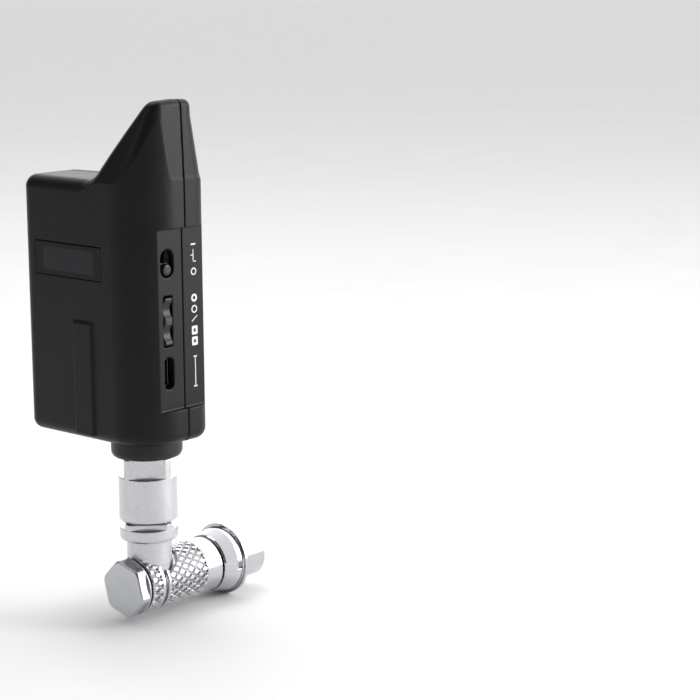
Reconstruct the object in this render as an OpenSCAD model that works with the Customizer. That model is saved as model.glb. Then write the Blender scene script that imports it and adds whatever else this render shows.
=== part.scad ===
// Wireless lens-control receiver. A slim black housing with a tapered antenna fin stands on the
// stem of a right-angle push-pull plug, which is plugged into its chassis socket.
// Millimetres. The origin is on the plug axis in the plane of the panel face.
// +Y runs into the panel, +Z up the stem, -Y is the display side.

/* [Housing] */
// Height of the box, without the fin
box_h = 62.6; // [61.6:0.2:63.4]
// Height of the antenna fin above the box
fin_h = 18.9; // [18:0.1:20]
// Distance from the stem axis to the left side
box_l = 30.4; // [30:0.1:30.8]
// Radius of the round column on the control side
col_r = 11; // [10.8:0.1:11.2]
// Radius of the rear edge on the control side
rear_r = 5.2; // [4.8:0.1:5.6]
// Radius of the two left upright edges
corner_r = 3.5; // [3:0.1:4]
// Wall thickness
wall = 1.8; // [1.6:0.1:2]
// Plane of the parting seam, measured from the stem axis
seam_y = 3; // [2.8:0.1:3.2]
// Height of the raised rib under the display
rib_h = 28; // [26:0.2:30]

/* [Controls] */
// Depth plane of the recessed control strip
strip_x = 10.35; // [10.2:0.05:10.5]
// Centre line of the controls, from the stem axis
ctl_y = -1.9; // [-2:0.05:-1.8]
// Height of the power switch
power_z = 79.5; // [79:0.5:80.5]
// Height of the rocker
rocker_z = 65.8; // [65.2:0.1:66.4]
// Height of the data socket
usb_z = 53.4; // [52.8:0.1:54]
// Travel of the power slider
power_travel = 3; // [2.5:0.1:3.2]

/* [Display] */
// Width of the window
win_w = 23.5; // [22.8:0.1:24]
// Height of the window
win_h = 8.2; // [7.9:0.1:8.6]
// Height of the window centre
win_z = 79.1; // [78:0.1:80]

/* [Plug and stem] */
// Distance from the panel face to the stem axis
stem_off = 25.4; // [25.3:0.1:25.6]
// Outer radius of the barrel and the stem rings
barrel_r = 7.05; // [6.95:0.05:7.1]
// Radius of the plain neck
neck_r = 5.45; // [5.3:0.05:5.5]
// Distance across the spanner flats
flat_af = 11; // [10.8:0.1:11.4]
// Travel of the release sleeve
sleeve_travel = 0.9; // [0.6:0.1:0.9]

/* [Chassis socket] */
// Radius of the shank that passes through the panel
shank_r = 6.4; // [6.2:0.05:6.6]
// Length of the shank behind the panel face
shank_len = 9; // [7:0.5:10]

/* [Hidden] */
$fn = 48;

z0 = 36;                        // underside of the housing
z1 = z0 + box_h;                // top of the box
z2 = z1 + fin_h;                // top of the fin
right_x = 11.6;                 // outer face on the control side
cx = right_x - col_r;              // column axis
cy1 = 0;
rear_y = 11.5;
c3 = [right_x - rear_r, rear_y - rear_r];   // axis of the rear edge
front_y = cy1 - col_r;
c1 = [-box_l + corner_r, front_y + corner_r];
c2 = [-box_l + corner_r, 3.2];
td = c3 - c2;
th = atan2(td[1], td[0]) + acos((corner_r - rear_r) / norm(td));
tn = [cos(th), sin(th)];        // normal of the sloping back
floor_t = 2.2;
pcb_y = 0.9;                   // front face of the board
pcb_t = 1;
inner_x = 8.6;                  // inner face of the control side wall
screws = [[-24.6, 42, 5.1], [-24.6, 92.5, 5.1], [5.6, 45, 8.8], [5.4, 92.5, 8.8]];
win_x = -13.9;
sl0 = -0.3;                     // rear end of the release sleeve
sh = sl0 - sleeve_travel - 0.1;  // shoulder it stops against
contact_r = 1.6;

module at_stem() translate([0, -stem_off, 0]) children();
module along_y() rotate([-90, 0, 0]) children();
module along_x() rotate([90, 0, 90]) children();
module stadium(w, h) { square([w, h - w], center = true); for (s = [-1, 1]) translate([0, s * (h - w) / 2]) circle(d = w); }

// ---- housing outline, i is the inset from the outside ----
module plan(i) {
  r = col_r - i;
  q = rear_r - i;
  c = corner_r - i;
  polygon([[c1[0], c1[1] - c], [cx, cy1 - r], [right_x - i, cy1], [right_x - i, c3[1]], [c3[0] + q * tn[0], c3[1] + q * tn[1]],
    [c2[0] + c * tn[0], c2[1] + c * tn[1]], [c2[0] - c, c2[1]], [c1[0] - c, c1[1]]]);
  translate(c1) circle(r = c);
  translate(c2) circle(r = c);
  translate([cx, cy1]) circle(r = r);
  translate(c3) circle(r = q);
}
// rectangle with a radius for each pair of corners
module round_rect(x0, y0, x1, y1, rb, rt) {
  translate([x0, y0 + rb]) square([x1 - x0, y1 - y0 - rb - rt]);
  translate([x0 + rb, y0]) square([x1 - x0 - 2 * rb, rb]);
  translate([x0 + rt, y1 - rt]) square([x1 - x0 - 2 * rt, rt]);
  for (x = [x0 + rb, x1 - rb]) translate([x, y0 + rb]) circle(r = rb);
  for (x = [x0 + rt, x1 - rt]) translate([x, y1 - rt]) circle(r = rt);
}
module fin(i) hull() {
  for (l = [[z1 - 4.5, 0], [z1 + 0.4, 0.3]]) {
    translate([cx, cy1, l[0]]) intersection() { cylinder(r = col_r - i - l[1], h = 0.5, $fn = 64); translate([-7.6 + l[1] + i, -20, 0]) cube([40, 40, 1]); }
    translate([c3[0], c3[1], l[0]]) cylinder(r = rear_r - i - l[1], h = 0.5, $fn = 48);
    translate([-7 + l[1] + i, c3[1] - 1, l[0]]) cube([1, rear_r - i - l[1], 0.5]);
  }
  for (y = [-1.9 + i, 4.7 - i], x = [8.9 - i / 3, 9 - i / 2]) translate([x, y, z2 - 2.5 - 2 * i]) cylinder(r1 = 2.4 - i / 3, r2 = 1.8 - i / 3, h = 2.5, $fn = 32);
}
module housing_solid() difference() {
  union() {
    intersection() {
      translate([0, 0, z0]) linear_extrude(box_h) plan(0);
      translate([0, 15, 0]) rotate([90, 0, 0]) linear_extrude(40) round_rect(-box_l, z0, right_x, z1, 3, 3);
      translate([-40, 0, 0]) along_x() linear_extrude(60) round_rect(front_y, z0, 11.5, z1, 3, 3);
    }
    fin(0);
  }
  translate([strip_x, -4.9, 44.3]) cube([5, 30, 43.3]);
  translate([0, 0, z0]) cylinder(r = 3.22, h = 10);
}
module cavity() {
  intersection() {
    translate([0, 0, z0 + floor_t]) linear_extrude(box_h - floor_t - wall) plan(wall);
    translate([-40, -20, 0]) cube([40 + inner_x, 40, 200]);
  }
  intersection() {
    fin(wall);
    translate([-40, -20, z1 - 6]) cube([40 + inner_x, 40, 60]);
  }
}

module front_shell() color([0.16, 0.16, 0.17]) at_stem() {
  difference() {
    union() {
      difference() { housing_solid(); cavity(); translate([-60, seam_y, 0]) cube([120, 60, 200]); }
      translate([-12.6, front_y - 0.6, z0 + 1.2]) cube([6.6, 1.2, rib_h - 1.2]);
      for (s = screws) translate([s[0], front_y + 1, s[1]]) along_y() cylinder(r = 1.9, h = pcb_y - front_y - 1);
    }
    translate([win_x - win_w / 2, front_y - 1, win_z - win_h / 2]) cube([win_w, 1.8, win_h]);
    translate([win_x - win_w / 2 + 1, front_y - 1, win_z - win_h / 2 + 0.8]) cube([win_w - 2, 5, win_h - 1.6]);
    translate([inner_x - 1, ctl_y, power_z]) along_x() linear_extrude(5) stadium(4.3, 6.7);
    translate([inner_x - 1, ctl_y, rocker_z]) along_x() linear_extrude(5) stadium(3.1, 12.3);
    translate([inner_x - 1, ctl_y, usb_z]) along_x() linear_extrude(5) stadium(3.3, 7.9);
    for (s = screws) translate([s[0], -8, s[1]]) along_y() cylinder(r = 0.8, h = 20);
  }
}
module rear_shell() color([0.15, 0.15, 0.16]) at_stem() difference() {
  union() {
    difference() { housing_solid(); cavity(); translate([-60, seam_y - 60, 0]) cube([120, 60, 200]); }
    for (s = screws) translate([s[0], pcb_y + pcb_t, s[1]]) along_y() cylinder(r = 1.9, h = s[2] + 1.3 - pcb_y - pcb_t);
    // thick rear corner that the two screw bosses run into
    translate([3.2, 9, z0 + 1]) cube([inner_x - 2.7, 1.2, box_h - 2]);
  }
  for (s = screws) translate([s[0], -5, s[1]]) along_y() cylinder(r = 0.9, h = 20);
  for (s = screws) translate([s[0], s[2], s[1]]) along_y() cylinder(r = 1.75, h = 12);
}
module display_window() color([0.03, 0.03, 0.035]) at_stem()
  translate([win_x - win_w / 2 + 0.03, front_y + 0.02, win_z - win_h / 2 + 0.03]) cube([win_w - 0.06, 0.76, win_h - 0.06]);
module display_module() color([0.2, 0.25, 0.28]) at_stem() {
  translate([win_x - 10.6, front_y + wall, win_z - 4.6]) cube([21.2, 1.7, 9.2]);
  translate([win_x - 10, front_y + 0.82, win_z - 3.2]) cube([20, 1.1, 6.4]);
  translate([win_x - 4, front_y + wall + 1.6, win_z - 4]) cube([8, pcb_y - front_y - wall - 1.6, 1]);
}
module main_pcb() color([0.05, 0.3, 0.16]) at_stem() difference() {
  translate([-27, pcb_y, 39.6]) cube([35.2, pcb_t, 56]);
  translate([-3.6, pcb_y - 1, 39]) cube([7.2, 3, 10.9]);
  translate([-8.6, pcb_y - 1, 39]) cube([17.2, 3, 3.6]);
  for (s = screws) translate([s[0], pcb_y - 1, s[1]]) along_y() cylinder(r = 0.95, h = 3);
}
module rf_shield() color([0.75, 0.75, 0.77]) at_stem() difference() {
  translate([-21, pcb_y - 2.3, 53]) cube([14, 2.3, 17]);
  translate([-20.7, pcb_y - 2, 53.3]) cube([13.4, 2.1, 16.4]);
  for (x = [-18:2.5:-10], z = [56:3:68]) translate([x, pcb_y - 3, z]) along_y() cylinder(r = 0.5, h = 2, $fn = 12);
}
module antenna() color([0.85, 0.8, 0.6]) at_stem() translate([6.9, pcb_y + 0.5, 95.6]) {
  cylinder(r = 1, h = z2 - 95.6 - 7.5);
  for (k = [0:5]) translate([0, 0, 2.4 + k * 1.8]) cylinder(r = 1.2, h = 0.8);
  cylinder(r = 1.3, h = 1.5);
}
module battery() color([0.55, 0.58, 0.62]) at_stem() {
  translate([-23, pcb_y + pcb_t + 0.02, 50]) cube([20, 2.4, 36]);
  translate([-21, pcb_y + pcb_t + 0.3, 86]) cube([16, 1.9, 2]);
}
module power_switch_body() color([0.1, 0.1, 0.1]) at_stem() difference() {
  translate([5, -4.4, power_z - 4.6]) cube([inner_x - 5, 4.4 + pcb_y, 9.2]);
  translate([inner_x - 1.6, ctl_y - 0.8, power_z - 3.1]) cube([3, 1.6, 6.2]);
}
module power_slider() color([0.08, 0.08, 0.085]) at_stem() translate([0, ctl_y, power_z - power_travel / 2]) {
  difference() {
    translate([inner_x + 0.1, -1.3, -1.3]) cube([1.5, 2.6, 2.6]);
    for (z = [-0.8, 0, 0.8]) translate([inner_x + 1.35, -2, z - 0.15]) cube([1, 4, 0.3]);
  }
  translate([inner_x - 1.4, -0.7, -1]) cube([1.7, 1.4, 2]);
}
module mode_switch_body() color([0.12, 0.12, 0.12]) at_stem() difference() {
  union() {
    translate([inner_x - 4.3, -4.2, rocker_z - 5.2]) cube([2.5, 4.2 + pcb_y, 10.4]);
    for (s = [-1, 1]) translate([inner_x - 2, ctl_y + s * 1.85 - 0.3, rocker_z - 1.2]) cube([1.8, 0.6, 2.4]);
  }
  translate([inner_x - 0.8, -6, rocker_z]) along_y() cylinder(r = 0.45, h = 6.9);
}
module mode_rocker() color([0.1, 0.1, 0.105]) at_stem() translate([inner_x - 0.8, ctl_y, rocker_z]) {
  intersection() {
    difference() {
      translate([0.3, -1.3, -5.75]) cube([2.55, 2.6, 11.5]);
      translate([10.2, 0, 0]) rotate([90, 0, 0]) cylinder(r = 8.2, h = 4, center = true);
      for (s = [-1, 1]) translate([2.75, -2, s * 4.6 - 0.2]) cube([1, 4, 0.4]);
    }
    along_x() linear_extrude(8) stadium(2.6, 11.5);
  }
  translate([-0.8, -1.3, -1]) cube([1.6, 2.6, 2]);
  translate([0, -2.15, 0]) along_y() cylinder(r = 0.4, h = 4.25);
}
module usb_socket() color([0.72, 0.72, 0.74]) at_stem() translate([0, ctl_y, usb_z]) {
  difference() {
    union() { translate([4.7, 0, 0]) along_x() linear_extrude(5.2) stadium(2.7, 7.5); translate([4.9, 0, -3]) cube([2.8, pcb_y - ctl_y, 6]); }
    translate([5.7, 0, 0]) along_x() linear_extrude(6) stadium(2.2, 7);
  }
  translate([5.5, -0.35, -2.4]) cube([3.8, 0.7, 4.8]);
}
module case_screws() color([0.3, 0.3, 0.32]) at_stem() for (s = screws) translate([s[0], s[2] + 0.02, s[1]]) along_y() difference() {
  union() { cylinder(r = 1.55, h = 1.1); translate([0, 0, -s[2] - 6.5]) cylinder(r = 0.78, h = s[2] + 6.6); }
  translate([0, 0, 0.5]) cylinder(r = 0.75, h = 2, $fn = 6);
}
module wire_header() color([0.85, 0.83, 0.75]) at_stem() difference() {
  translate([-3.5, -2.4, 46.02]) cube([7, 4.8, 3.8]);
  for (k = [0:4]) translate([1.2 * (k - 2), -3, 47.6]) cube([0.5, 2, 1.2]);
}

// ---- stem ----
module neck_collar() color([0.1, 0.1, 0.1]) at_stem() rotate_extrude()
  polygon([[3.22, 31.92], [7.4, 31.92], [8, 32.1], [8.45, 32.6], [8.6, 33.3], [8.6, z0 - 0.4], [8.3, z0 - 0.01], [3.22, z0 - 0.01]]);
module stem_nut() color([0.7, 0.7, 0.7]) at_stem() difference() {
  translate([0, 0, z0 + floor_t + 0.01]) cylinder(r = 5.1, h = 2.4, $fn = 6);
  cylinder(r = 3.22, h = 60);
}
module stem_tube() color([0.75, 0.75, 0.77]) at_stem() difference() {
  translate([0, 0, 22.3]) cylinder(r = 3.2, h = 20.2);
  cylinder(r = 2.3, h = 60);
}
module flats() rotate([0, 0, 45]) translate([-flat_af / 2, -flat_af / 2, -100]) cube([flat_af, flat_af, 200]);
module collet_nut() color([0.8, 0.8, 0.82]) at_stem() difference() {
  intersection() {
    rotate_extrude() polygon([[0, 15.66], [barrel_r - 0.5, 15.66], [barrel_r, 16.2], [barrel_r, 31.6], [barrel_r - 0.3, 31.9], [0, 31.9]]);
    union() { translate([0, 0, 10]) cylinder(r = 20, h = 16.9); flats(); }
  }
  rotate_extrude() polygon([[0, 10], [5.24, 10], [5.24, 21.6], [4.62, 21.6], [4.62, 25.3], [3.5, 27.7], [3.5, 40], [0, 40]]);
}
module collet() color([0.78, 0.62, 0.3]) at_stem() difference() {
  rotate_extrude() polygon([[3.22, 21.66], [4.58, 21.66], [4.58, 25.3], [3.6, 27.4], [3.22, 27.4]]);
  for (a = [0:60:120]) rotate([0, 0, a + 15]) translate([-6, -0.2, 23.3]) cube([12, 0.4, 6]);
}
module elbow_body() color([0.78, 0.78, 0.8]) at_stem() difference() {
  union() {
    along_y() rotate_extrude() polygon([[0, -5.36], [barrel_r - 0.3, -5.36], [barrel_r, -5.1], [barrel_r, -2.25], [barrel_r - 0.2, -2.05],
      [barrel_r, -1.85], [barrel_r, sh - 0.1], [barrel_r - 0.12, sh], [6, sh], [6, 6.6], [0, 6.6]]);
    cylinder(r = neck_r, h = 11.4);
    rotate_extrude() polygon([[0, 10.4], [neck_r, 10.4], [neck_r, 10.9], [barrel_r - 0.5, 11.1], [barrel_r, 11.6], [barrel_r, 14], [barrel_r - 0.2, 14.2], [0, 14.2]]);
    intersection() { translate([0, 0, 11.8]) cylinder(r = barrel_r, h = 3.8); flats(); }
    cylinder(r = 5.2, h = 21.5);
  }
  translate([0, -7, 0]) along_y() cylinder(r = 5, h = 20);
  translate([0, -8, 0]) along_y() cylinder(r = 6.7, h = 2.63);
  cylinder(r = 4, h = 40);
}
module elbow_cap() color([0.8, 0.8, 0.82]) at_stem() along_y() {
  intersection() {
    rotate_extrude() polygon([[0, -9.2], [6.4, -9.2], [6.9, -8.9], [7, -8.4], [7, -6.02], [0, -6.02]]);
    union() { translate([0, 0, -6.6]) cylinder(r = 8, h = 3); rotate([0, 0, -15]) translate([0, 0, -10]) cylinder(r = 12.5 / 2 / cos(30), h = 10, $fn = 6); }
  }
  difference() { translate([0, 0, -6.1]) cylinder(r = 4.98, h = 2); translate([0, 0, -5.6]) cylinder(r = 4, h = 2); }
}
module cap_seal() color([0.06, 0.06, 0.06]) at_stem() translate([0, -6, 0]) along_y() difference() { cylinder(r = 6.5, h = 0.62); translate([0, 0, -1]) cylinder(r = 5.02, h = 3); }

// ---- plug ----
module latch_sleeve() color([0.82, 0.82, 0.84]) at_stem() difference() {
  along_y() rotate_extrude() polygon([[6.06, sl0], [barrel_r - 0.25, sl0], [barrel_r, sl0 + 0.25], [barrel_r, 13.1], [barrel_r - 0.2, 13.4], [barrel_r - 0.2, 13.6],
    [6.9, 13.8], [6.9, 18.4], [6.65, 18.7], [6.06, 18.7]]);
  translate([0, 1.1, 0.01]) cylinder(r = neck_r + 0.35, h = 10);
  translate([-neck_r - 0.35, -9, 0.01]) cube([2 * neck_r + 0.7, 10.1, 10]);
}
module plug_shell() color([0.8, 0.8, 0.8]) along_y() difference() {
  union() { translate([0, 0, -21]) cylinder(r = 4.98, h = 5); translate([0, 0, -18.78]) cylinder(r = 5.2, h = 16.7); }
  translate([0, 0, -30]) cylinder(r = 4.3, h = 40);
  translate([-0.5, 3.5, -6]) cube([1, 3, 10]);
}
module latch_fingers() color([0.85, 0.7, 0.4]) along_y() difference() {
  rotate_extrude() polygon([[5.22, -18.76], [6, -18.76], [6, -3], [5.75, -2.6], [5.22, -2.6]]);
  for (a = [0:45:135]) rotate([0, 0, a + 22.5]) translate([-8, -0.3, -15]) cube([16, 0.6, 20]);
}
module ring_of(n) { children(); for (k = [0:n - 1]) rotate([0, 0, k * 360 / n + 90]) translate([contact_r, 0, 0]) children(); }
module plug_insert() color([0.9, 0.88, 0.8]) along_y() difference() {
  translate([0, 0, -16.6]) cylinder(r = 4.28, h = 10.1);
  ring_of(5) translate([0, 0, -30]) cylinder(r = 0.42, h = 40, $fn = 24);
}
module plug_contacts() color([0.9, 0.75, 0.3]) along_y() ring_of(5) {
  translate([0, 0, -17.1]) cylinder(r = 0.4, h = 14.1, $fn = 24);
  translate([0, 0, -3.01]) cylinder(r1 = 0.4, r2 = 0.2, h = 0.4, $fn = 24);
}
module signal_wires() color([0.7, 0.2, 0.15]) at_stem() {
  for (p = concat([[0, 0]], [for (k = [0:4]) [contact_r * cos(k * 72 + 90), -contact_r * sin(k * 72 + 90)]])) {
    translate([p[0], p[1] - 0.36, p[1]]) along_y() cylinder(r = 0.36, h = stem_off - 16.8 - p[1], $fn = 24);
    translate([p[0], p[1], p[1] - 0.3]) cylinder(r = 0.33, h = 46.3 - p[1], $fn = 24);
  }
}

// ---- chassis socket ----
module conical_nut() color([0.84, 0.84, 0.86]) along_y() difference() {
  rotate_extrude() polygon([[6.92, -6.6], [7.15, -6.6], [7.3, -6.4], [8.1, -2.7], [8.2, -0.95], [8.8, -0.9], [9, -0.7], [9, -0.1], [8.9, 0], [6.92, 0]]);
  for (a = [0, 180]) rotate([0, 0, a]) translate([7.6, -0.8, -2.9]) cube([3, 1.6, 1.7]);
}
module socket_shell() color([0.75, 0.75, 0.77]) along_y() difference() {
  rotate_extrude() polygon([[4.28, -0.8], [6.06, -0.8], [6.06, -6.2], [6.25, -6.5], [6.9, -6.5], [6.9, -0.02], [shank_r, -0.02], [shank_r, shank_len - 0.4], [shank_r - 0.4, shank_len], [4.28, shank_len]]);
  translate([-0.6, 3.6, 0]) cube([1.2, 1.2, 20]);
}
module socket_insert() color([0.88, 0.86, 0.78]) along_y() difference() {
  translate([0, 0, -6.3]) cylinder(r = 4.26, h = 6.3 + shank_len - 0.3);
  ring_of(5) translate([0, 0, -8]) cylinder(r = 0.5, h = 40, $fn = 24);
}
module socket_contacts() color([0.9, 0.75, 0.3]) along_y() ring_of(5) difference() {
  translate([0, 0, -2]) cylinder(r = 0.48, h = shank_len + 4.5, $fn = 24);
  translate([0, 0, shank_len]) cylinder(r = 0.32, h = 4, $fn = 16);
}

front_shell();
rear_shell();
display_window();
display_module();
main_pcb();
rf_shield();
antenna();
battery();
power_switch_body();
power_slider();
mode_switch_body();
mode_rocker();
usb_socket();
case_screws();
wire_header();
neck_collar();
stem_nut();
stem_tube();
collet_nut();
collet();
elbow_body();
elbow_cap();
cap_seal();
latch_sleeve();
plug_shell();
latch_fingers();
plug_insert();
plug_contacts();
signal_wires();
conical_nut();
socket_shell();
socket_insert();
socket_contacts();
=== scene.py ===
import bpy, bmesh, math
import numpy as np
from mathutils import Vector, Matrix


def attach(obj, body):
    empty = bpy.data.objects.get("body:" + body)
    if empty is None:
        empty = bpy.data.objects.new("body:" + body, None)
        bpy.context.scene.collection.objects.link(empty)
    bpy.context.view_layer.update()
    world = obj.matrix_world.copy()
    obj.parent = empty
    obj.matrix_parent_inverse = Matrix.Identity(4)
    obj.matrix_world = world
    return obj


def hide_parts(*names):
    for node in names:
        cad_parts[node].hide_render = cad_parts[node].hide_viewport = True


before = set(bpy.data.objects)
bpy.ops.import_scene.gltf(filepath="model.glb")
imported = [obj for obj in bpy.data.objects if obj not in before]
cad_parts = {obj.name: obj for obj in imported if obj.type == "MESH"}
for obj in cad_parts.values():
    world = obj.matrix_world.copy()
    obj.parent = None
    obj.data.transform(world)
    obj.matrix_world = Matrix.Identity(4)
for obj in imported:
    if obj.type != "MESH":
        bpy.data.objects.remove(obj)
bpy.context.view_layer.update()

MM = 0.001
SY = -25.4            # the stem axis, mm

# ------------------------------------------------------------------ camera
AZ, PIT, ROLL = math.radians(40.8), math.radians(11.15), math.radians(-0.3)
FPX = 2030.0
d = np.array([-math.sin(AZ) * math.cos(PIT), math.cos(AZ) * math.cos(PIT), -math.sin(PIT)])
r0 = np.array([math.cos(AZ), math.sin(AZ), 0.0])
u0 = np.cross(r0, d)
r = r0 * math.cos(ROLL) + u0 * math.sin(ROLL)
u = u0 * math.cos(ROLL) - r0 * math.sin(ROLL)
Z0 = 496.0
PX = (150.3, 580.8)
C = np.array([0, SY, 0.0]) - (Z0 * d + (PX[0] - 350) / FPX * Z0 * r - (PX[1] - 350) / FPX * Z0 * u)
cam = bpy.data.objects.new("camera", bpy.data.cameras.new("camera"))
bpy.context.scene.collection.objects.link(cam)
cam.data.sensor_width = 36.0
cam.data.lens = FPX / 700 * 36.0
cam.data.clip_start = 0.01
cam.data.clip_end = 20.0
M = Matrix.Identity(4)
for i in range(3):
    M[i][0], M[i][1], M[i][2], M[i][3] = r[i], u[i], -d[i], C[i] * MM
cam.matrix_world = M
bpy.context.scene.camera = cam

# ------------------------------------------------------------------ materials
def new_mat(name):
    m = bpy.data.materials.new(name)
    m.use_nodes = True
    nt = m.node_tree
    return m, nt, nt.nodes["Principled BSDF"]

def node(nt, kind, **kw):
    n = nt.nodes.new(kind)
    for k, v in kw.items():
        if k in n.inputs:
            n.inputs[k].default_value = v
        else:
            setattr(n, k, v)
    return n

def noise(nt, scale, detail=4.0, rough=0.55, stretch=None):
    tc = node(nt, "ShaderNodeTexCoord")
    n = node(nt, "ShaderNodeTexNoise")
    n.inputs["Scale"].default_value = scale
    n.inputs["Detail"].default_value = detail
    n.inputs["Roughness"].default_value = rough
    if stretch:
        mp = node(nt, "ShaderNodeMapping")
        mp.inputs["Scale"].default_value = stretch
        nt.links.new(tc.outputs["Object"], mp.inputs["Vector"])
        nt.links.new(mp.outputs["Vector"], n.inputs["Vector"])
    else:
        nt.links.new(tc.outputs["Object"], n.inputs["Vector"])
    return n

def ramp(nt, src, stops):
    c = node(nt, "ShaderNodeValToRGB")
    e = c.color_ramp.elements
    while len(e) < len(stops):
        e.new(0.5)
    for k, (p, col) in enumerate(stops):
        e[k].position = p
        e[k].color = (col, col, col, 1) if isinstance(col, (int, float)) else tuple(col) + (1,)
    nt.links.new(src, c.inputs["Fac"])
    return c

def edge_mask(nt, lo=0.53, hi=0.62):
    g = node(nt, "ShaderNodeNewGeometry")
    return ramp(nt, g.outputs["Pointiness"], [(lo, 0.0), (hi, 1.0)])

def mix_col(nt, fac, a, b):
    m = node(nt, "ShaderNodeMix", data_type="RGBA")
    ins = [i for i in m.inputs if i.enabled]
    nt.links.new(fac, m.inputs[0])
    for sock, v in ((m.inputs[6], a), (m.inputs[7], b)):
        if isinstance(v, tuple):
            sock.default_value = v + (1,)
        else:
            nt.links.new(v, sock)
    return m.outputs[2]

def plastic(name, col, rough, grain=3200.0, bump=0.25, wear_and_sheen=0.10, spec=0.5):
    m, nt, b = new_mat(name)
    n1 = noise(nt, grain, 3.0, 0.6)
    n2 = noise(nt, 90.0, 5.0, 0.6)
    lo = tuple(c * 0.86 for c in col)
    hi = tuple(min(1, c * 1.16) for c in col)
    base = ramp(nt, n2.outputs["Fac"], [(0.32, lo), (0.68, hi)])
    # Rounded edges (high pointiness) get a lighter base colour: partly rubbed-edge wear, partly a painted edge sheen.
    em = edge_mask(nt)
    brighter = tuple(min(1, c + wear_and_sheen * 0.35) for c in col)
    out = mix_col(nt, em.outputs["Color"], base.outputs["Color"], brighter)
    nt.links.new(out, b.inputs["Base Color"])
    rr = ramp(nt, n1.outputs["Fac"], [(0.3, rough - 0.05), (0.7, rough + 0.07)])
    nt.links.new(rr.outputs["Color"], b.inputs["Roughness"])
    bp = node(nt, "ShaderNodeBump")
    bp.inputs["Strength"].default_value = bump
    bp.inputs["Distance"].default_value = 0.00006
    nt.links.new(n1.outputs["Fac"], bp.inputs["Height"])
    nt.links.new(bp.outputs["Normal"], b.inputs["Normal"])
    b.inputs["Specular IOR Level"].default_value = spec
    return m

def metal(name, col, rough, var=0.05, stretch=(1, 1, 1), bump=0.08, grain=1500.0, wear_and_sheen=0.0, cavity_shade=0.25):
    m, nt, b = new_mat(name)
    b.inputs["Metallic"].default_value = 1.0
    n1 = noise(nt, grain, 4.0, 0.6, stretch)
    n2 = noise(nt, 140.0, 5.0, 0.65)
    base = ramp(nt, n2.outputs["Fac"], [(0.3, tuple(c * 0.92 for c in col)), (0.7, tuple(min(1, c * 1.03) for c in col))])
    # Hollows (low pointiness) get a darker base colour: painted shade in grooves and crevices.
    g = node(nt, "ShaderNodeNewGeometry")
    cavity_shade_mask = ramp(nt, g.outputs["Pointiness"], [(0.40, 1.0), (0.49, 0.0)])
    out = mix_col(nt, cavity_shade_mask.outputs["Color"], base.outputs["Color"], tuple(c * (1 - cavity_shade) for c in col))
    nt.links.new(out, b.inputs["Base Color"])
    rr = ramp(nt, n1.outputs["Fac"], [(0.3, max(0.02, rough - var)), (0.7, rough + var)])
    nt.links.new(rr.outputs["Color"], b.inputs["Roughness"])
    bp = node(nt, "ShaderNodeBump")
    bp.inputs["Strength"].default_value = bump
    bp.inputs["Distance"].default_value = 0.00003
    nt.links.new(n1.outputs["Fac"], bp.inputs["Height"])
    nt.links.new(bp.outputs["Normal"], b.inputs["Normal"])
    return m

M_SHELL = plastic("shell_black", (0.0075, 0.0072, 0.0088), 0.38, 2600.0, 0.3, 0.04, 0.20)
M_COLLAR = plastic("collar_black", (0.014, 0.014, 0.0145), 0.42, 3000.0, 0.2, 0.06, 0.3)
M_SWITCH = plastic("switch_black", (0.009, 0.009, 0.0095), 0.34, 3600.0, 0.2, 0.12, 0.35)
M_SATIN = metal("satin_chrome", (0.62, 0.62, 0.64), 0.30, 0.05, (1, 1, 1), 0.10, 2600.0)
M_CAP = metal("satin_cap", (0.56, 0.57, 0.60), 0.34, 0.05, (1, 1, 1), 0.10, 2600.0)
# The knurl's strong hollow darkening (0.6) is painted shade in its grooves.
M_KNURL = metal("knurl_chrome", (0.58, 0.585, 0.60), 0.24, 0.04, (1, 1, 1), 0.03, 1800.0, 0, 0.6)
M_BRIGHT = metal("bright_chrome", (0.58, 0.58, 0.61), 0.10, 0.03, (1, 1, 1), 0.03, 900.0)
M_STEEL = metal("plated_steel", (0.55, 0.55, 0.57), 0.28, 0.06)
M_USB = metal("usb_dark_nickel", (0.13, 0.13, 0.135), 0.30, 0.06)
M_SCREW = metal("black_oxide", (0.08, 0.08, 0.085), 0.35, 0.06)
M_GOLD = metal("gold_plate", (0.83, 0.62, 0.27), 0.2, 0.05)
M_RUBBER = plastic("black_rubber", (0.012, 0.012, 0.012), 0.65, 2000.0, 0.4, 0.05, 0.3)
M_INSERT = plastic("insert_natural", (0.62, 0.58, 0.48), 0.45, 2400.0, 0.1, 0.1)
M_BOARD = plastic("board_green", (0.02, 0.13, 0.06), 0.35, 1200.0, 0.15, 0.1)
M_FOIL = metal("cell_foil", (0.55, 0.57, 0.6), 0.3, 0.06, (1, 1, 1), 0.3, 500.0)
M_CERAM = plastic("antenna_ceramic", (0.55, 0.5, 0.38), 0.4, 1600.0, 0.2, 0.1)
M_WIRE = plastic("wire_pvc", (0.35, 0.05, 0.04), 0.4, 2000.0, 0.1, 0.1)
M_MARK = plastic("white_ink", (0.78, 0.78, 0.78), 0.5, 5000.0, 0.1, 0.0)

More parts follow.
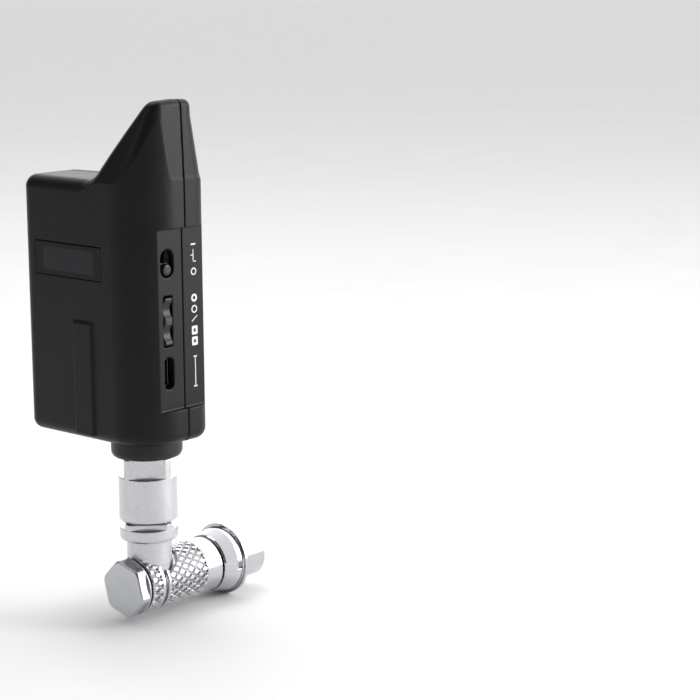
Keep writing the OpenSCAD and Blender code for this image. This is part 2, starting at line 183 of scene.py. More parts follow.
def window_mat():
    m, nt, b = new_mat("window_glass")
    tc = node(nt, "ShaderNodeTexCoord")
    sp = node(nt, "ShaderNodeSeparateXYZ")
    nt.links.new(tc.outputs["Object"], sp.inputs["Vector"])
    def band(out, c, half, soft):
        s = node(nt, "ShaderNodeMath", operation="SUBTRACT"); nt.links.new(out, s.inputs[0]); s.inputs[1].default_value = c
        a = node(nt, "ShaderNodeMath", operation="ABSOLUTE"); nt.links.new(s.outputs[0], a.inputs[0])
        k = node(nt, "ShaderNodeMapRange"); nt.links.new(a.outputs[0], k.inputs["Value"])
        k.inputs["From Min"].default_value = half - soft; k.inputs["From Max"].default_value = half + soft
        k.inputs["To Min"].default_value = 1.0; k.inputs["To Max"].default_value = 0.0
        return k.outputs["Result"]
    mx = node(nt, "ShaderNodeMath", operation="MULTIPLY")
    nt.links.new(band(sp.outputs["X"], -0.0139, 0.0088, 0.00008), mx.inputs[0])
    nt.links.new(band(sp.outputs["Z"], 0.0791, 0.0028, 0.00008), mx.inputs[1])
    n2 = noise(nt, 300.0, 4.0)
    area = ramp(nt, n2.outputs["Fac"], [(0.3, (0.017, 0.018, 0.022)), (0.7, (0.021, 0.022, 0.027))])
    out = mix_col(nt, mx.outputs[0], (0.003, 0.003, 0.0035), area.outputs["Color"])
    nt.links.new(out, b.inputs["Base Color"])
    rr = ramp(nt, n2.outputs["Fac"], [(0.3, 0.10), (0.7, 0.16)])
    nt.links.new(rr.outputs["Color"], b.inputs["Roughness"])
    b.inputs["Specular IOR Level"].default_value = 0.16
    bp = node(nt, "ShaderNodeBump"); bp.inputs["Strength"].default_value = 0.04; bp.inputs["Distance"].default_value = 0.00003
    nt.links.new(n2.outputs["Fac"], bp.inputs["Height"]); nt.links.new(bp.outputs["Normal"], b.inputs["Normal"])
    return m
M_WINDOW = window_mat()

# ------------------------------------------------------------------ signed-distance meshing, millimetres
def smin(a, b, k):
    h = np.clip(0.5 + 0.5 * (b - a) / k, 0, 1)
    return b + (a - b) * h - k * h * (1 - h)
def smax(a, b, k):
    return -smin(-a, -b, k)
def rbox2(x, y, cx, cy, hx, hy, rad):
    qx = np.abs(x - cx) - hx + rad
    qy = np.abs(y - cy) - hy + rad
    return np.minimum(np.maximum(qx, qy), 0) + np.hypot(np.maximum(qx, 0), np.maximum(qy, 0)) - rad
def box3(x, y, z, lo, hi, rad=0.0):
    q = [np.abs(v - (a + b) / 2) - (b - a) / 2 + rad for v, a, b in zip((x, y, z), lo, hi)]
    out = np.sqrt(sum(np.maximum(v, 0) ** 2 for v in q))
    return out + np.minimum(np.maximum(np.maximum(q[0], q[1]), q[2]), 0) - rad
def slab_round(d2, dz, rad):
    """Extrusion of a 2D distance with rounded rims."""
    a, b = d2 + rad, dz + rad
    return np.minimum(np.maximum(a, b), 0) + np.hypot(np.maximum(a, 0), np.maximum(b, 0)) - rad

def mesh_sdf(name, f, lo, hi, h, mat, shift=(0, SY, 0), iters=4, smooth=True):
    lo = np.array(lo, float); hi = np.array(hi, float)
    n = np.ceil((hi - lo) / h).astype(int) + 1
    ax = [lo[i] + h * np.arange(n[i]) for i in range(3)]
    X, Y, Z = np.meshgrid(*ax, indexing="ij", sparse=True)
    F = np.broadcast_to(f(X, Y, Z), tuple(n)).astype(np.float32)
    F = np.where(np.abs(F) < 1e-7, 1e-7, F)
    S = F < 0
    cs = [S[a:n[0] - 1 + a, b:n[1] - 1 + b, c:n[2] - 1 + c] for a in (0, 1) for b in (0, 1) for c in (0, 1)]
    anyS = np.logical_or.reduce(cs); allS = np.logical_and.reduce(cs)
    act = anyS & ~allS
    idx = -np.ones(act.shape, np.int64)
    ci = np.argwhere(act)
    idx[act] = np.arange(len(ci))
    acc = np.zeros((len(ci), 3)); cnt = np.zeros(len(ci))
    def val(o):
        return F[ci[:, 0] + o[0], ci[:, 1] + o[1], ci[:, 2] + o[2]].astype(float)
    for axis in range(3):
        others = [a for a in range(3) if a != axis]
        for p in (0, 1):
            for q in (0, 1):
                o0 = [0, 0, 0]; o0[others[0]] = p; o0[others[1]] = q
                o1 = list(o0); o1[axis] = 1
                v0, v1 = val(o0), val(o1)
                cr = (v0 < 0) != (v1 < 0)
                t = np.where(cr, v0 / np.where(cr, v0 - v1, 1), 0)
                pt = np.tile(np.array(o0, float), (len(ci), 1)); pt[:, axis] = t
                acc[cr] += pt[cr]; cnt[cr] += 1
    P = lo + h * (ci + acc / cnt[:, None])
    cell0 = lo + h * ci
    def grad(Q, e):
        g = np.empty_like(Q)
        for a in range(3):
            dv = np.zeros(3); dv[a] = e
            A, B = Q + dv, Q - dv
            g[:, a] = (f(A[:, 0], A[:, 1], A[:, 2]) - f(B[:, 0], B[:, 1], B[:, 2])) / (2 * e)
        return g
    for _ in range(iters):
        v = f(P[:, 0], P[:, 1], P[:, 2])
        g = grad(P, 0.12 * h)
        gg = np.maximum((g ** 2).sum(1), 0.25)
        step = -(v / gg)[:, None] * g
        P = P + np.clip(step, -0.35 * h, 0.35 * h)
        P = np.clip(P, cell0 - 0.05 * h, cell0 + 1.05 * h)
    quads = []
    for axis in range(3):
        o1, o2 = [a for a in range(3) if a != axis]
        sl0 = [slice(None)] * 3; sl1 = [slice(None)] * 3
        sl0[axis] = slice(0, n[axis] - 1); sl1[axis] = slice(1, n[axis])
        for s in (sl0, sl1):
            s[o1] = slice(1, n[o1] - 1); s[o2] = slice(1, n[o2] - 1)
        A, B = S[tuple(sl0)], S[tuple(sl1)]
        e = np.argwhere(A != B)
        if not len(e):
            continue
        inside = A[e[:, 0], e[:, 1], e[:, 2]]
        e = e.copy(); e[:, o1] += 1; e[:, o2] += 1
        def at(da, db):
            c = e.copy(); c[:, o1] -= da; c[:, o2] -= db
            return idx[c[:, 0], c[:, 1], c[:, 2]]
        q = np.stack([at(1, 1), at(0, 1), at(0, 0), at(1, 0)], 1)
        flip = inside if axis != 1 else ~inside
        q = np.where(flip[:, None], q, q[:, ::-1])
        quads.append(q)
    Q = np.concatenate(quads)
    me = bpy.data.meshes.new(name)
    V = (P + np.array(shift, float)) * MM
    me.vertices.add(len(V)); me.vertices.foreach_set("co", V.astype(np.float32).ravel())
    me.loops.add(Q.size); me.loops.foreach_set("vertex_index", Q.ravel().astype(np.int32))
    me.polygons.add(len(Q))
    me.polygons.foreach_set("loop_start", np.arange(0, Q.size, 4, dtype=np.int32))
    me.update(calc_edges=True)
    me.validate()
    me.polygons.foreach_set("use_smooth", [smooth] * len(me.polygons))
    if smooth and len(me.vertices) == len(P):
        N = grad(P, 0.25 * h)
        ln = np.linalg.norm(N, axis=1)
        bad = ln < 0.3
        N = N / np.maximum(ln, 1e-6)[:, None]
        N[bad] = 0
        me.normals_split_custom_set_from_vertices([tuple(v) for v in N])
    me.materials.append(mat)
    ob = bpy.data.objects.new(name, me)
    bpy.context.scene.collection.objects.link(ob)
    return ob

# ------------------------------------------------------------------ housing
Z0H, Z1H, Z2H = 36.0, 98.6, 117.5
XR = 11.6
CXH, FRONT = XR - 11.0, -11.0
RR = 5.2
C1, C2, C3 = np.array([-26.9, -7.5]), np.array([-26.9, 3.2]), np.array([XR - RR, 11.5 - RR])
def plan_points():
    pts = []
    def arc(c, rad, a0, a1, k):
        for a in np.linspace(a0, a1, k):
            pts.append((c[0] + rad * math.cos(a), c[1] + rad * math.sin(a)))
    td = C3 - C2
    th = math.atan2(td[1], td[0]) + math.acos((3.5 - RR) / np.linalg.norm(td))
    arc((CXH, 0), 11.0, -math.pi / 2, 0, 60)
    arc(C3, RR, 0, th, 50)
    arc(C2, 3.5, th, math.pi, 20)
    arc(C1, 3.5, math.pi, 1.5 * math.pi, 24)
    return np.array(pts)
PL = plan_points()
GH = 0.1
gx = np.arange(-36, 20, GH); gy = np.arange(-20, 22, GH)
def poly_sdf(px, py, P):
    best = np.full(np.broadcast(px, py).shape, 1e9); ins = np.zeros(best.shape, bool)
    for a, b in zip(P, np.roll(P, -1, 0)):
        e = b - a; wx, wy = px - a[0], py - a[1]
        L = e @ e
        if L < 1e-12: continue
        t = np.clip((wx * e[0] + wy * e[1]) / L, 0, 1)
        best = np.minimum(best, (wx - e[0] * t) ** 2 + (wy - e[1] * t) ** 2)
        c = ((a[1] <= py) != (b[1] <= py)) & (px < (b[0] - a[0]) * (py - a[1]) / (b[1] - a[1] + 1e-30) + a[0])
        ins ^= c
    return np.where(ins, -1, 1) * np.sqrt(best)
PTAB = poly_sdf(gx[:, None], gy[None, :], PL)
def plan_d(x, y):
    x, y = np.broadcast_arrays(x, y)
    fx = np.clip((x - gx[0]) / GH, 0, len(gx) - 2.001); fy = np.clip((y - gy[0]) / GH, 0, len(gy) - 2.001)
    i = fx.astype(int); j = fy.astype(int); a = fx - i; b = fy - j
    return (PTAB[i, j] * (1 - a) * (1 - b) + PTAB[i + 1, j] * a * (1 - b) + PTAB[i, j + 1] * (1 - a) * b + PTAB[i + 1, j + 1] * a * b)

def ease(t):
    return t * t * (3 - 2 * t)
def fin_d(x, y, z):
    t = np.clip((z - 97.0) / (Z2H - 97.0), 0, 1.0)
    x0 = -7.6 + 14.6 * t
    x1 = XR - 0.75 * t
    y0 = FRONT + 6.3 * t ** 1.25
    y1 = 11.5 - 4.5 * t
    rl = 3.6 - 1.2 * t
    rf = 11.0 * (1 - t) + 2.3 * t
    rb = RR * (1 - t) + 2.9 * t
    cx, cy = (x0 + x1) / 2, (y0 + y1) / 2
    hx, hy = (x1 - x0) / 2, (y1 - y0) / 2
    px, py = x - cx, y - cy
    rad = np.where(px > 0, np.where(py > 0, rb, rf), rl)
    rad = np.minimum(rad, np.minimum(hx, hy) * 0.98)
    qx, qy = np.abs(px) - hx + rad, np.abs(py) - hy + rad
    d2 = np.minimum(np.maximum(qx, qy), 0) + np.hypot(np.maximum(qx, 0), np.maximum(qy, 0)) - rad
    slope = np.where((px < 0) & (qx > qy), 0.80, 0.96)
    dz = z - (Z2H - 0.05 * np.abs(y - 1.0) ** 1.0 - 0.0)
    return np.maximum(slab_round(d2 * slope, dz, 1.6), Z0H + 30 - z)

def housing_base(x, y, z):
    d2 = plan_d(x, y)
    zc = (Z0H + Z1H) / 2
    dz = np.abs(z - zc) - (Z1H - Z0H) / 2
    rad = np.where(z > zc, 3.0, 2.6)
    b = slab_round(d2 + 0 * z, dz + 0 * x, rad)
    f = np.maximum(fin_d(x, y, z), d2 + 0 * z)
    return np.maximum(smin(b, f, 2.2), d2 + 0 * z)

SCREWS = [(-24.6, 42, 5.1), (-24.6, 92.5, 5.1), (5.6, 45, 8.8), (5.4, 92.5, 8.8)]
CTL, POWZ, ROCZ, USBZ = -1.9, 79.5, 65.8, 53.4
WX, WW, WH, WZ = -13.9, 23.5, 8.2, 79.1
SX, IX = 10.35, 8.6
def stad(y, z, zc, w, hgt):
    return np.hypot(y - CTL, np.maximum(np.abs(z - zc) - (hgt - w) / 2, 0)) - w / 2

def housing(x, y, z):
    b = housing_base(x, y, z)
    inner = np.maximum(np.maximum(b + 1.8, x - IX), (Z0H + 2.2) - z)
    rib = box3(x, y, z, (-12.6, FRONT - 0.6, Z0H + 1.2), (-6.0, FRONT + 2, 64.8), 0.45)
    o = smin(b, rib, 0.25)
    strip = box3(x, y, z, (SX, -4.9, 44.3), (17, 30, 87.6), 0.25)
    o = smax(o, -strip, 0.18)
    pocket = box3(x, y, z, (WX - WW / 2, FRONT - 5, WZ - WH / 2), (WX + WW / 2, FRONT + 0.84, WZ + WH / 2), 0.35)
    o = smax(o, -pocket, 0.12)
    o = np.maximum(o, -box3(x, y, z, (WX - WW / 2 + 1, FRONT - 5, WZ - WH / 2 + 0.8), (WX + WW / 2 - 1, FRONT + 5, WZ + WH / 2 - 0.8)))
    cut = np.minimum(np.minimum(stad(y, z, POWZ, 4.2, 6.7), stad(y, z, USBZ, 3.2, 7.7)),
                     rbox2(y, z, CTL, ROCZ, 1.5, 6.1, 0.5))
    o = smax(o, -np.maximum(cut, 6.0 - x), 0.22)
    scr = 1e9
    for sx, sz, sy in SCREWS:
        scr = np.minimum(scr, np.maximum(np.hypot(x - sx, z - sz) - 1.75, sy - y))
    o = smax(o, -scr, 0.15)
    o = np.maximum(o, -np.maximum(np.hypot(x, y) - 3.25, z - 41))
    nut = np.maximum(np.hypot(x, y) - 5.2, np.abs(z - 40) - 1.0)
    o = np.maximum(o, -nut)
    return np.maximum(o, -inner)

SEAM = 3.0
HV = 0.34
def front_f(x, y, z): return smax(housing(x, y, z), y - SEAM + 0.13, 0.2)
def rear_f(x, y, z): return smax(housing(x, y, z), SEAM + 0.13 - y, 0.2)
o = mesh_sdf("front_shell_skin", front_f, (-31.6, -12.6, 35.1), (12.6, 3.8, 118.7), HV, M_SHELL)
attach(o, "receiver"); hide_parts("front_shell")
o = mesh_sdf("rear_shell_skin", rear_f, (-31.6, 2.2, 35.1), (12.6, 12.5, 118.7), HV, M_SHELL)
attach(o, "receiver"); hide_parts("rear_shell")

# display window: a glossy plate with eased edges
def window_f(x, y, z):
    return box3(x, y, z, (WX - WW / 2 + 0.06, FRONT + 0.02, WZ - WH / 2 + 0.06), (WX + WW / 2 - 0.06, FRONT + 0.78, WZ + WH / 2 - 0.06), 0.22)
o = mesh_sdf("display_window_glass", window_f, (WX - 12, FRONT - 0.6, WZ - 5), (WX + 12, FRONT + 1.4, WZ + 5), 0.13, M_WINDOW)
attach(o, "receiver"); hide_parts("display_window")

# ------------------------------------------------------------------ controls
def slider_f(x, y, z):
    zz = z - (POWZ - 1.5)
    rr = np.hypot(y - CTL, zz)
    knob = np.maximum(rr - 1.4, np.abs(x - (IX + 0.95)) - 0.9)
    dome = np.sqrt((x - (IX + 0.25)) ** 2 + rr ** 2) - 1.95
    knob = smax(knob, dome, 0.25)
    base = box3(x, y, z, (IX + 0.08, CTL - 1.45, POWZ - 1.5 - 1.6), (IX + 0.55, CTL + 1.45, POWZ - 1.5 + 1.6), 0.15)
    tongue = box3(x, y, z, (IX - 1.4, CTL - 0.7, POWZ - 2.5), (IX + 0.3, CTL + 0.7, POWZ - 0.5))
    return np.minimum(smin(knob, base, 0.2), tongue)
o = mesh_sdf("power_slider_knob", slider_f, (IX - 1.8, CTL - 2.2, POWZ - 4.0), (IX + 2.6, CTL + 2.2, POWZ + 1.2), 0.13, M_SWITCH)
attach(o, "power_slider"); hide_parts("power_slider")

def rocker_f(x, y, z):
    zz = z - ROCZ
    X = x - (IX - 0.8)
    body = box3(X, y, zz, (0.3, CTL - 1.28, -5.7), (2.85, CTL + 1.28, 5.7), 0.45)
    body = smax(body, -(np.hypot(X - 4.7, zz - 2.75) - 2.75), 0.3)
    body = smax(body, -(np.hypot(X - 4.7, zz + 2.75) - 2.75), 0.3)
    for s_ in (-4.9, -4.3, -0.3, 0.3, 4.3, 4.9):
        body = smax(body, -(np.hypot(X - 2.92, zz - s_) - 0.16), 0.1)
    hub = box3(X, y, zz, (-0.8, CTL - 1.25, -1), (0.8, CTL + 1.25, 1), 0.3)
    pin = np.maximum(np.hypot(X, zz) - 0.4, np.abs(y - CTL) - 2.1)
    return np.minimum(smin(body, hub, 0.3), pin)
o = mesh_sdf("mode_rocker_key", rocker_f, (IX - 2.0, CTL - 2.4, ROCZ - 6.3), (IX + 2.5, CTL + 2.4, ROCZ + 6.3), 0.15, M_SWITCH)
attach(o, "mode_rocker"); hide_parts("mode_rocker")

def usb_f(x, y, z):
    yy, zz = y - CTL, z - USBZ
    def dee(g):
        s_ = 3.7 - g - 0.55 * np.clip((yy + 1.35) / 2.7, 0, 1)
        return np.maximum(np.abs(yy) - 1.33 + g, np.abs(zz) - s_)
    shell = np.maximum(dee(0.0), np.abs(x - (IX - 2.0)) - 1.95)
    shell = smax(shell, -np.maximum(dee(0.27), (IX - 3.2) - x), 0.08)
    tongue = box3(x, yy, zz, (IX - 3.5, -0.35, -2.3), (IX - 0.3, 0.35, 2.3), 0.1)
    foot = box3(x, yy, zz, (IX - 3.7, 0.9, -3), (IX - 0.9, 0.9 - CTL - 0.02, 3), 0.1)
    return np.minimum(np.minimum(shell, tongue), foot)
o = mesh_sdf("usb_socket_shell", usb_f, (IX - 4.4, CTL - 1.8, USBZ - 4.2), (IX + 0.4, 1.3, USBZ + 4.2), 0.13, M_USB)
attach(o, "receiver"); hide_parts("usb_socket")

# ------------------------------------------------------------------ stem and plug
AF = 5.5
def flats_d(x, y):
    a = (x + y) / math.sqrt(2); b = (x - y) / math.sqrt(2)
    return np.maximum(np.abs(a), np.abs(b)) - AF
def collet_f(x, y, z):
    rr = np.hypot(x, y)
    cyl = np.maximum(rr - 7.05, np.maximum(15.68 - z, z - 31.9))
    cyl = smax(cyl, (rr - 7.05 + (15.68 - z) + 0.7) * 0.7, 0.12)
    cyl = smax(cyl, (rr - 7.05 + (z - 31.9) + 0.35) * 0.7, 0.10)
    keep = np.minimum(flats_d(x, y) + 0 * z, z - 26.9)
    o = smax(cyl, keep, 0.12)
    bore = np.where(z < 21.6, rr - 5.24, np.where(z < 25.3, rr - 4.62, rr - np.maximum(3.5, 4.62 - (z - 25.3) * 0.46)))
    return np.maximum(o, -bore)
SV = 0.16
o = mesh_sdf("collet_nut_body", collet_f, (-7.8, -7.8, 15.0), (7.8, 7.8, 32.6), SV, M_SATIN)
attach(o, "receiver"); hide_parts("collet_nut")

NA, PITCH = 21, 3.05
def knurl(x, y, z, y0, y1, R, depth=0.5):
    """Radius of a diamond-knurled barrel on the Y axis."""
    th = np.arctan2(x, z)
    a = th * NA / (2 * math.pi); b = y / PITCH
    t1 = np.abs((a + b) % 1.0 - 0.5) * 2       # 0 at a groove's middle line, 1 at a crest
    t2 = np.abs((a - b) % 1.0 - 0.5) * 2
    t1, t2 = 1 - t1, 1 - t2
    hgt = np.minimum(np.minimum(t1, t2) * 2.1, 1.0)
    edge = np.clip(np.minimum(y - y0, y1 - y) / 0.35, 0, 1)
    return R - depth * (1 - hgt) * edge

def elbow_f(x, y, z):
    rb = np.hypot(x, z)
    R = knurl(x, y, z, -5.2, -2.1, 7.05)
    barrel = np.maximum((rb - R) * 0.8, np.maximum(-5.36 - y, y + 1.3))
    barrel = smax(barrel, (rb - 7.05 + (-5.36 - y) + 0.3) * 0.7, 0.1)
    ring = np.hypot(np.maximum(rb - 6.75, 0), np.maximum(np.abs(y + 1.72) - 0.12, 0)) - 0.28
    barrel = np.minimum(barrel, np.maximum(ring, 4 - rb))
    tube = np.maximum(rb - 6.0, np.maximum(-5 - y, y - 6.6))
    rn = np.hypot(x, y)
    neck = np.maximum(rn - 5.45, np.maximum(-z, z - 12))
    o = smin(np.minimum(barrel, tube), neck, 0.35)
    rg = np.maximum(rn - 7.05, np.maximum(11.1 - z, z - 15.6))
    rg = smax(rg, (rn - 7.05 + (11.1 - z) + 0.55) * 0.7, 0.4)
    keep = np.minimum(flats_d(x, y) + 0 * z, z - 14.2)
    rg = smax(rg, keep, 0.12)
    o = smin(o, rg, 0.12)
    o = np.minimum(o, np.maximum(rn - 5.2, np.maximum(12 - z, z - 21.5)))
    o = np.maximum(o, -np.maximum(rb - 6.7, y + 5.365))
    bore = np.maximum(rb - 5.0, -7.5 - y)
    bore2 = np.maximum(rn - 4.0, -z)
    return np.maximum(o, -np.minimum(bore, bore2))
o = mesh_sdf("elbow_body_shell", elbow_f, (-7.6, -7.6, -7.6), (7.6, 7.7, 22.2), 0.12, M_KNURL)
o.data.materials.append(M_SATIN)
zc = np.empty(len(o.data.polygons) * 3, np.float32); o.data.polygons.foreach_get("center", zc)
zc = zc.reshape(-1, 3) / MM
mi = ((np.hypot(zc[:, 0], zc[:, 1] - SY) < 7.2) & (zc[:, 2] > 5.5) & (np.hypot(zc[:, 0], zc[:, 2]) > 7.08)).astype(np.int32)
o.data.polygons.foreach_set("material_index", mi)
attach(o, "receiver"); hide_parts("elbow_body")

def cap_f(x, y, z):
    rb = np.hypot(x, z)
    disc = np.maximum(rb - 7.0, np.maximum(-9.2 - y, y + 6.03))
    disc = smax(disc, (rb - 7.0 + (-9.2 - y) + 0.4) * 0.7, 0.15)
    hexd = -1e9
    for k in range(6):
        a = math.radians(15 + 60 * k)
        hexd = np.maximum(hexd, x * math.cos(a) + z * math.sin(a) - 6.28)
    keep = np.minimum(smax(hexd, hexd + (-9.2 - y) + 0.3, 0.2), -(y + 6.6))
    disc = smax(disc, keep, 0.15)
    disc = smax(disc, (rb - 7.0 + (y + 6.03) + 0.2) * 0.7, 0.1)
    spig = np.maximum(np.abs(rb - 4.49) - 0.49, np.maximum(-6.4 - y, y + 4.1))
    return np.minimum(disc, spig)
o = mesh_sdf("elbow_cap_hex", cap_f, (-7.6, -9.8, -7.6), (7.6, -3.6, 7.6), SV * 0.8, M_CAP)
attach(o, "receiver"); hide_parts("elbow_cap")

def sleeve_f(x, y, z):
    rb = np.hypot(x, z)
    R = knurl(x, y, z, 0.35, 13.1, 7.05)
    R = np.where(y > 13.6, 6.9, R)
    body = (rb - R) * 0.8
    body = np.maximum(body, np.maximum(-0.28 - y, y - 18.68))
    body = smax(body, (rb - 6.9 + (y - 18.68) + 0.35) * 0.7, 0.12)
    body = smax(body, (rb - 7.05 + (-0.28 - y) + 0.2) * 0.7, 0.1)
    groove = np.hypot(rb - 7.25, y - 13.55) - 0.38
    body = smax(body, -groove, 0.08)
    o = np.maximum(body, 6.06 - rb)
    nt_ = np.where(y > 1.1, np.hypot(x, y - 1.1) - 5.8, np.abs(x) - 5.8)
    nt_ = np.maximum(nt_, -z)
    return smax(o, -nt_, 0.15)
o = mesh_sdf("latch_sleeve_grip", sleeve_f, (-7.6, -0.9, -7.6), (7.6, 19.3, 7.6), 0.125, M_KNURL)
o.data.materials.append(M_BRIGHT)
zc = np.empty(len(o.data.polygons) * 3, np.float32); o.data.polygons.foreach_get("center", zc)
zc = zc.reshape(-1, 3) / MM
o.data.polygons.foreach_set("material_index", (zc[:, 1] - SY > 13.45).astype(np.int32))
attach(o, "latch_sleeve"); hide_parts("latch_sleeve")

# ------------------------------------------------------------------ turned pieces
def lathe(name, prof, axis, mat, n=160, y_off=0.0, closed=True):
    """prof: closed loop of (radius, height), mm. axis 'z' about the stem, 'y' about the plug."""
    P = []
    for k in range(n):
        a = 2 * math.pi * k / n
        for rad, hh in prof:
            if axis == "z":
                P.append((rad * math.cos(a) * MM, (rad * math.sin(a) + SY) * MM, hh * MM))
            else:
                P.append((rad * math.cos(a) * MM, (hh + y_off) * MM, rad * math.sin(a) * MM))
    m = len(prof); Fc = []
    for k in range(n):
        for j in range(m):
            a, b = k * m + j, k * m + (j + 1) % m
            c, e = ((k + 1) % n) * m + (j + 1) % m, ((k + 1) % n) * m + j
            Fc.append((a, b, c, e))
    me = bpy.data.meshes.new(name); me.from_pydata(P, [], Fc); me.validate()
    bm = bmesh.new(); bm.from_mesh(me); bmesh.ops.recalc_face_normals(bm, faces=bm.faces); bm.to_mesh(me); bm.free()
    me.polygons.foreach_set("use_smooth", [True] * len(me.polygons))
    me.set_sharp_from_angle(angle=math.radians(35))
    me.materials.append(mat)
    ob = bpy.data.objects.new(name, me); bpy.context.scene.collection.objects.link(ob)
    return ob

def fillet(prof, rad, k=5):
    """Rounds every corner of a closed profile."""
    out = []; n = len(prof)
    for i in range(n):
        p, a, b = np.array(prof[i], float), np.array(prof[i - 1], float), np.array(prof[(i + 1) % n], float)
        r_ = rad[i] if isinstance(rad, (list, tuple)) else rad
        da, db = a - p, b - p
        la, lb = np.linalg.norm(da), np.linalg.norm(db)
        rr_ = min(r_, la * 0.45, lb * 0.45)
        if rr_ < 1e-3:
            out.append(tuple(p)); continue
        s, e = p + da / la * rr_, p + db / lb * rr_
        for j in range(k + 1):
            t = j / k
            q = (1 - t) ** 2 * s + 2 * t * (1 - t) * p + t * t * e
            out.append(tuple(q))
    return out

o = lathe("neck_collar_ring", fillet([(3.3, 31.93), (8.0, 31.93), (8.6, 32.9), (8.6, 36.76), (3.3, 36.76)], [0.1, 0.5, 0.8, 0.15, 0.1]), "z", M_COLLAR)
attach(o, "receiver"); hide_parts("neck_collar")

def cone_f(x, y, z):   # conical nut, row Y
    rb = np.hypot(x, z)
    R = np.where(y < -2.7, 7.15 + (y + 6.6) / 3.9 * 0.95, 8.1 + 0.1 * (y + 2.7) / 1.75)
    o_ = np.maximum((rb - R) * 0.97, np.maximum(-6.6 - y, y + 0.02))
    o_ = smax(o_, (rb - 7.15 + (-6.6 - y) + 0.22) * 0.7, 0.2)
    rim = smax(rb - 8.97, np.abs(y + 0.49) - 0.47, 0.18)
    o_ = smin(np.maximum(o_, np.where(y > -0.95, rb - 8.2, -9)), rim, 0.12)
    o_ = np.maximum(o_, 6.93 - rb)
    notch = np.maximum(np.maximum(np.abs(z) - 0.8, np.abs(y + 2.05) - 0.85), 7.6 - np.abs(x))
    return smax(o_, -notch, 0.12)
o = mesh_sdf("conical_nut_ring", cone_f, (-9.6, -7.2, -9.6), (9.6, 0.6, 9.6), 0.15, M_BRIGHT, shift=(0, 0, 0))
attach(o, "socket"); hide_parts("conical_nut")

# ------------------------------------------------------------------ printed marks on the strip
def flat_mark(name, polys, holes=()):
    """Thin ink film on the strip, polygons in (y, z) mm about the stem, 0.03 thick."""
    bm = bmesh.new()
    for outer, inner in polys:
        x0, x1 = SX + 0.005, SX + 0.035
        def ring(pts, x): return [bm.verts.new((x * MM, (p[0] + SY) * MM, p[1] * MM)) for p in pts]
        n = len(outer)
        if inner is None:
            a, b = ring(outer, x0), ring(outer, x1)
            bm.faces.new(a[::-1]); bm.faces.new(b)
            for i in range(n): bm.faces.new((a[i], a[(i + 1) % n], b[(i + 1) % n], b[i]))
        else:
            a, b, c, e = ring(outer, x0), ring(outer, x1), ring(inner, x0), ring(inner, x1)
            for i in range(n):
                j = (i + 1) % n
                bm.faces.new((b[i], b[j], e[j], e[i])); bm.faces.new((a[j], a[i], c[i], c[j]))
                bm.faces.new((a[i], a[j], b[j], b[i])); bm.faces.new((c[j], c[i], e[i], e[j]))
    bmesh.ops.recalc_face_normals(bm, faces=bm.faces)
    me = bpy.data.meshes.new(name); bm.to_mesh(me); bm.free(); me.materials.append(M_MARK)
    ob = bpy.data.objects.new(name, me); bpy.context.scene.collection.objects.link(ob)
    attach(ob, "receiver")
    return ob
def circ(y, z, rad, n=40): return [(y + rad * math.cos(2 * math.pi * k / n), z + rad * math.sin(2 * math.pi * k / n)) for k in range(n)]
def rect(y0, z0_, y1, z1_): return [(y0, z0_), (y1, z0_), (y1, z1_), (y0, z1_)]
def rrect(yc, zc_, hy, hz, rad, k=6):
    pts = []
    for sx, sz, a0 in ((1, -1, -90), (1, 1, 0), (-1, 1, 90), (-1, -1, 180)):
        for j in range(k + 1):
            a = math.radians(a0 + 90 * j / k)
            pts.append((yc + sx * (hy - rad) + rad * math.cos(a), zc_ + sz * (hz - rad) + rad * math.sin(a)))
    return pts
MY = 6.7
flat_mark("mark_power", [(rect(MY - 0.75, 83.0, MY + 0.75, 83.4), None), (rect(MY - 0.2, 79.2, MY + 0.05, 82.0), None),
                         (rect(MY - 0.9, 80.5, MY - 0.2, 80.75), None), (rect(MY + 0.05, 78.95, MY + 0.8, 79.2), None),
                         (circ(MY, 76.7, 0.9), circ(MY, 76.7, 0.58))])
flat_mark("mark_mode", [(circ(MY, 70.4, 0.95), circ(MY, 70.4, 0.45)), (circ(MY, 67.7, 0.95), circ(MY, 67.7, 0.62)),
                        ([(MY - 0.9, 64.9), (MY - 0.9, 64.6), (MY + 0.9, 65.9), (MY + 0.9, 66.2)], None),
                        (rrect(MY, 62.6, 0.95, 1.05, 0.3), rrect(MY, 62.6, 0.35, 0.4, 0.15)), (rrect(MY, 60.0, 0.95, 1.05, 0.3), rrect(MY, 60.0, 0.35, 0.4, 0.15))])
flat_mark("mark_port", [(rect(MY - 0.13, 49.1, MY + 0.13, 56.3), None)] + [(rect(MY - 0.55, zq, MY + 0.55, zq + 0.35), None) for zq in (48.9, 56.1)])

# ------------------------------------------------------------------ CAD nodes that stay
for nm, mt in {"display_module": M_BOARD, "main_pcb": M_BOARD, "rf_shield": M_STEEL, "antenna": M_CERAM, "battery": M_FOIL,
               "power_switch_body": M_SWITCH, "mode_switch_body": M_SWITCH, "case_screws": M_SCREW, "wire_header": M_INSERT,
               "stem_nut": M_SATIN, "stem_tube": M_SATIN, "collet": M_GOLD, "cap_seal": M_RUBBER, "plug_shell": M_BRIGHT,
               "latch_fingers": M_GOLD, "plug_insert": M_INSERT, "plug_contacts": M_GOLD, "signal_wires": M_WIRE,
               "socket_shell": M_BRIGHT, "socket_insert": M_INSERT, "socket_contacts": M_GOLD}.items():
    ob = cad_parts[nm]
    if not ob.data.materials:
        ob.data.materials.append(mt)
    for sl in ob.material_slots:
        sl.material = mt

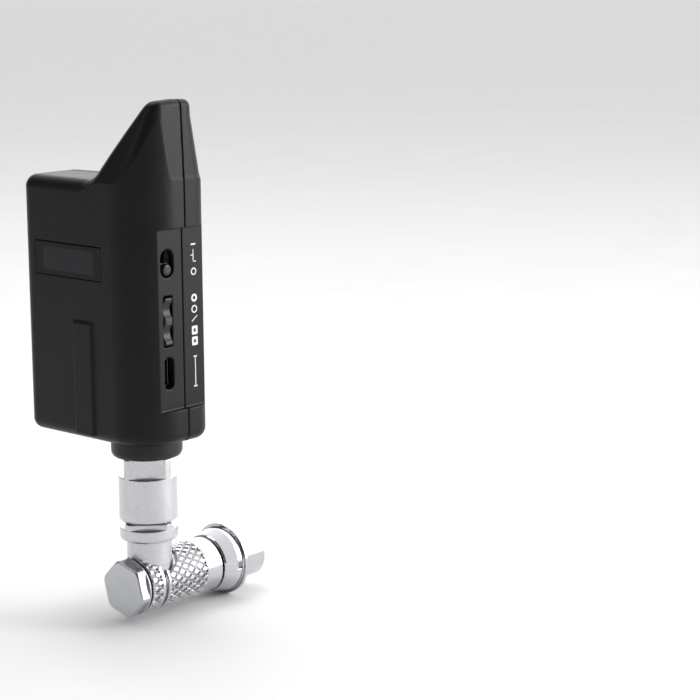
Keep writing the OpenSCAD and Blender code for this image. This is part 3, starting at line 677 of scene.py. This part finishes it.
# ------------------------------------------------------------------ floor, world, lights
m, nt, b = new_mat("floor_white")
n1 = noise(nt, 30.0, 4.0)
c = ramp(nt, n1.outputs["Fac"], [(0.3, 0.90), (0.7, 0.92)])
nt.links.new(c.outputs["Color"], b.inputs["Base Color"])
b.inputs["Roughness"].default_value = 0.9
b.inputs["Specular IOR Level"].default_value = 0.1
me = bpy.data.meshes.new("floor"); s = 6.0; zf = -0.0088
me.from_pydata([(-s, -s, zf), (s, -s, zf), (s, s, zf), (-s, s, zf)], [], [(0, 1, 2, 3)]); me.materials.append(m)
floor = bpy.data.objects.new("floor", me); bpy.context.scene.collection.objects.link(floor)

w = bpy.data.worlds.new("studio"); bpy.context.scene.world = w; w.use_nodes = True
wn = w.node_tree; bg = wn.nodes["Background"]
tc = wn.nodes.new("ShaderNodeTexCoord"); sp = wn.nodes.new("ShaderNodeSeparateXYZ"); cr = wn.nodes.new("ShaderNodeValToRGB")
wn.links.new(tc.outputs["Generated"], sp.inputs["Vector"])
mr = wn.nodes.new("ShaderNodeMapRange")
mr.inputs["From Min"].default_value = -1.0; mr.inputs["From Max"].default_value = 1.0
wn.links.new(sp.outputs["Y"], mr.inputs["Value"]); wn.links.new(mr.outputs["Result"], cr.inputs["Fac"])
e = cr.color_ramp.elements
e[0].position = 0.45; e[0].color = (0.12, 0.12, 0.122, 1)
e[1].position = 0.80; e[1].color = (1.9, 1.9, 1.9, 1)
wn.links.new(cr.outputs["Color"], bg.inputs["Color"])
bg.inputs["Strength"].default_value = 1.0

def area(name, loc, target, size, power, size_y=None):
    L = bpy.data.lights.new(name, "AREA"); L.energy = power; L.size = size
    if size_y: L.shape = "RECTANGLE"; L.size_y = size_y
    ob = bpy.data.objects.new(name, L); bpy.context.scene.collection.objects.link(ob)
    ob.location = loc
    ob.rotation_euler = (Vector(target) - Vector(loc)).to_track_quat("-Z", "Y").to_euler()
    return ob
T = (0, -0.02, 0.06)
area("key_top", (-0.30, 0.0, 0.95), T, 0.5, 3.2)
area("side_right", (0.60, 0.50, 0.24), T, 0.26, 3.6, 0.6)
area("front_fill", (-0.45, -0.85, 0.5), T, 0.3, 0.5)
sc = bpy.context.scene
sc.view_settings.view_transform = "Standard"
sc.view_settings.look = "None"
sc.view_settings.exposure = 0.0
